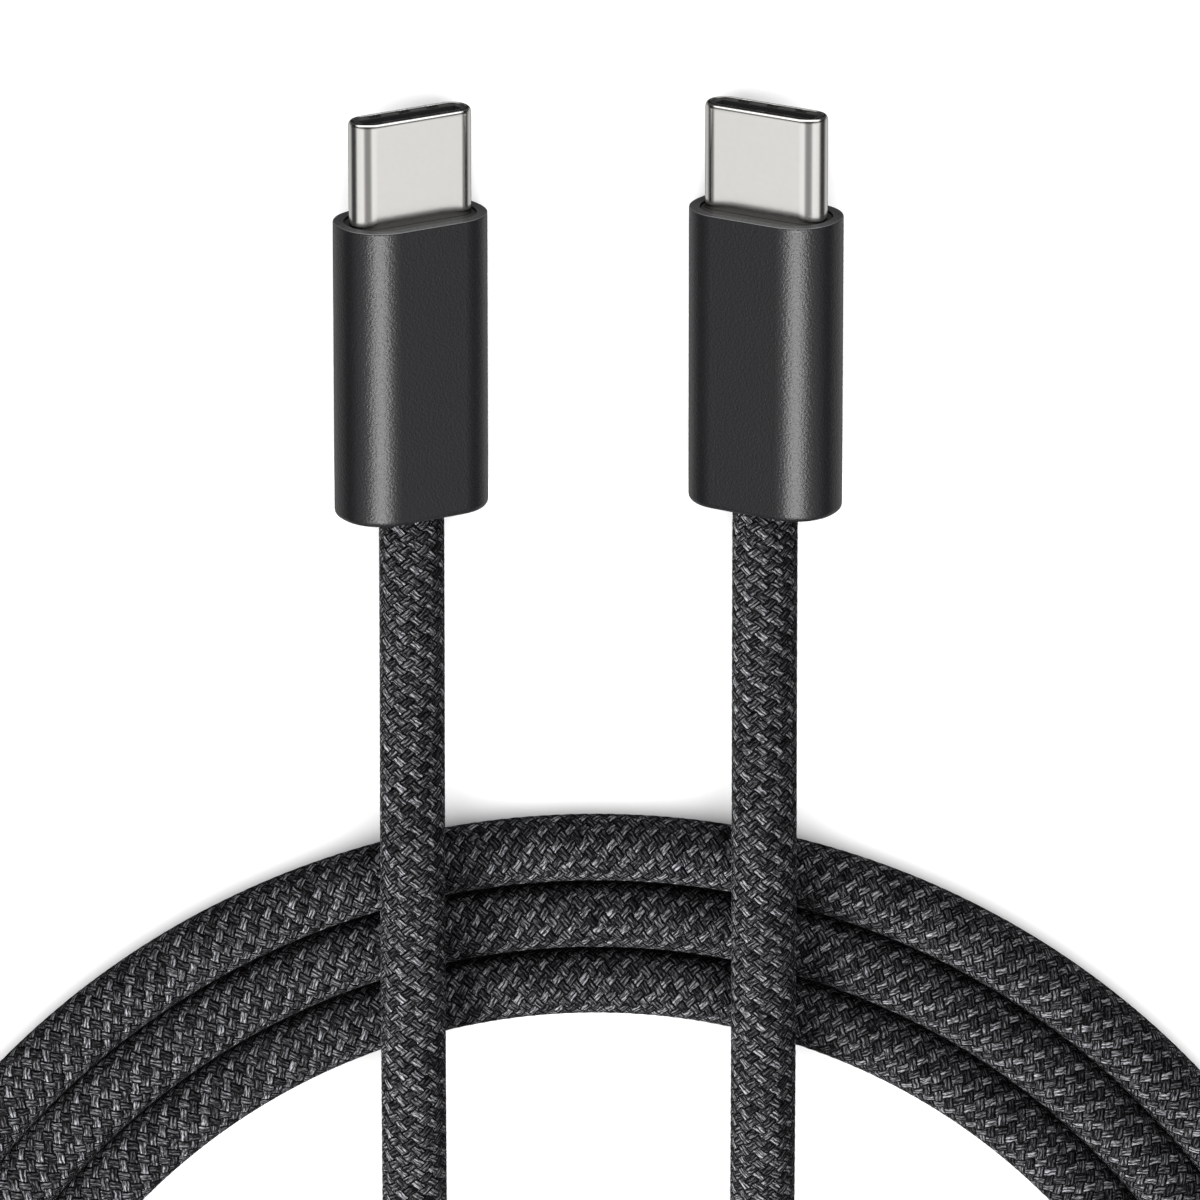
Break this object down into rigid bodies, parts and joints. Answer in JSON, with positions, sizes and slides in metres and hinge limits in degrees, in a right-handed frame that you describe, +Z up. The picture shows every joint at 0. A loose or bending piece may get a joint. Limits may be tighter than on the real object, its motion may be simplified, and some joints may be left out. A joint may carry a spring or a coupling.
{
  "type": "charging cable",
  "caption": "Braided charging cable with a USB-C plug in a flat rounded metal housing at each end, lying in a flat three-turn coil with both plugs side by side.",
  "frame": {"origin": "on the table, midway between the two plugs: the bottom centre of the plugs' box", "axes": "+Y out of the plug tips, along both plugs; +X across them to plug b; +Z up from the table"},
  "size_m": [0.0949, 0.1311, 0.008],
  "materials": {
    "housing_metal": "black anodised, fine bead-blasted grain",
    "collar_plastic": "black moulded plastic, satin",
    "shell_steel": "bright nickel-plated drawn steel",
    "insulator_plastic": "black glass-filled plastic",
    "contact_gold": "gold-plated, smooth",
    "spring_steel": "stamped spring steel",
    "board": "green solder mask",
    "chip": "black epoxy package",
    "small_parts": "tan ceramic with tinned ends",
    "solder": "tin solder, smooth",
    "shield_can": "tinned sheet steel",
    "mould": "off-white moulded plastic",
    "ferrule": "crimped steel",
    "braid_shield": "tinned copper braid, folded back",
    "cord_braid": "braided nylon, black with grey-flecked yarns",
    "grommet_rubber": "soft black rubber",
    "wire_red": "red wire insulation",
    "wire_black": "black wire insulation",
    "wire_blue": "blue wire insulation",
    "wire_green": "green and white pair, shown green"
  },
  "bodies": {
    "cord": {"flex_lead_a": "cord_braid", "flex_lead_b": "cord_braid", "lead_a": "cord_braid", "lead_b": "cord_braid", "cord_coil": "cord_braid"},
    "plug_a": {"housing_a": "housing_metal", "nose_collar_a": "collar_plastic", "plug_shell_a": "shell_steel", "insulator_a": "insulator_plastic", "upper_contacts_a": "contact_gold", "lower_contacts_a": "contact_gold", "upper_ground_spring_a": "spring_steel", "lower_ground_spring_a": "spring_steel", "circuit_board_a": "board", "marker_chip_a": "chip", "board_parts_a": "small_parts", "solder_joints_a": "solder", "upper_shield_can_a": "shield_can", "lower_shield_can_a": "shield_can", "inner_mould_a": "mould", "crimp_ferrule_a": "ferrule", "braid_shield_end_a": "braid_shield", "jacket_end_a": "cord_braid", "cord_grommet_a": "grommet_rubber", "power_wire_a": "wire_red", "ground_wire_a": "wire_black", "sense_wire_a": "wire_blue", "data_wires_a": "wire_green"},
    "left_latch_a": {"left_latch_spring_a": "spring_steel"},
    "right_latch_a": {"right_latch_spring_a": "spring_steel"},
    "plug_b": {"housing_b": "housing_metal", "nose_collar_b": "collar_plastic", "plug_shell_b": "shell_steel", "insulator_b": "insulator_plastic", "upper_contacts_b": "contact_gold", "lower_contacts_b": "contact_gold", "upper_ground_spring_b": "spring_steel", "lower_ground_spring_b": "spring_steel", "circuit_board_b": "board", "marker_chip_b": "chip", "board_parts_b": "small_parts", "solder_joints_b": "solder", "upper_shield_can_b": "shield_can", "lower_shield_can_b": "shield_can", "inner_mould_b": "mould", "crimp_ferrule_b": "ferrule", "braid_shield_end_b": "braid_shield", "jacket_end_b": "cord_braid", "cord_grommet_b": "grommet_rubber", "power_wire_b": "wire_red", "ground_wire_b": "wire_black", "sense_wire_b": "wire_blue", "data_wires_b": "wire_green"},
    "left_latch_b": {"left_latch_spring_b": "spring_steel"},
    "right_latch_b": {"right_latch_spring_b": "spring_steel"}
  },
  "joints": [
    {"name": "plug_a_bend", "type": "hinge", "parent": "cord", "child": "plug_a", "pos_m": [-0.01085, -0.02241, 0.004], "axis": [0, 0, 1], "range_deg": [-9, 60], "stiffness_Nm_per_rad": 0.01, "deforming": ["flex_lead_a"]},
    {"name": "left_latch_a_flex", "type": "hinge", "parent": "plug_a", "child": "left_latch_a", "pos_m": [-0.01381, 0.00358, 0.00573], "axis": [0.509, 0, 0.8607], "range_deg": [0, 2], "stiffness_Nm_per_rad": 0.3},
    {"name": "right_latch_a_flex", "type": "hinge", "parent": "plug_a", "child": "right_latch_a", "pos_m": [-0.00789, 0.00358, 0.00223], "axis": [-0.509, 0, -0.8607], "range_deg": [0, 2], "stiffness_Nm_per_rad": 0.3},
    {"name": "plug_b_bend", "type": "hinge", "parent": "cord", "child": "plug_b", "pos_m": [0.01085, -0.02224, 0.004], "axis": [0, 0, -1], "range_deg": [-9, 60], "stiffness_Nm_per_rad": 0.01, "deforming": ["flex_lead_b"]},
    {"name": "left_latch_b_flex", "type": "hinge", "parent": "plug_b", "child": "left_latch_b", "pos_m": [0.00789, 0.00392, 0.00223], "axis": [-0.509, 0, 0.8607], "range_deg": [0, 2], "stiffness_Nm_per_rad": 0.3},
    {"name": "right_latch_b_flex", "type": "hinge", "parent": "plug_b", "child": "right_latch_b", "pos_m": [0.01381, 0.00392, 0.00573], "axis": [0.509, 0, -0.8607], "range_deg": [0, 2], "stiffness_Nm_per_rad": 0.3}
  ]
}
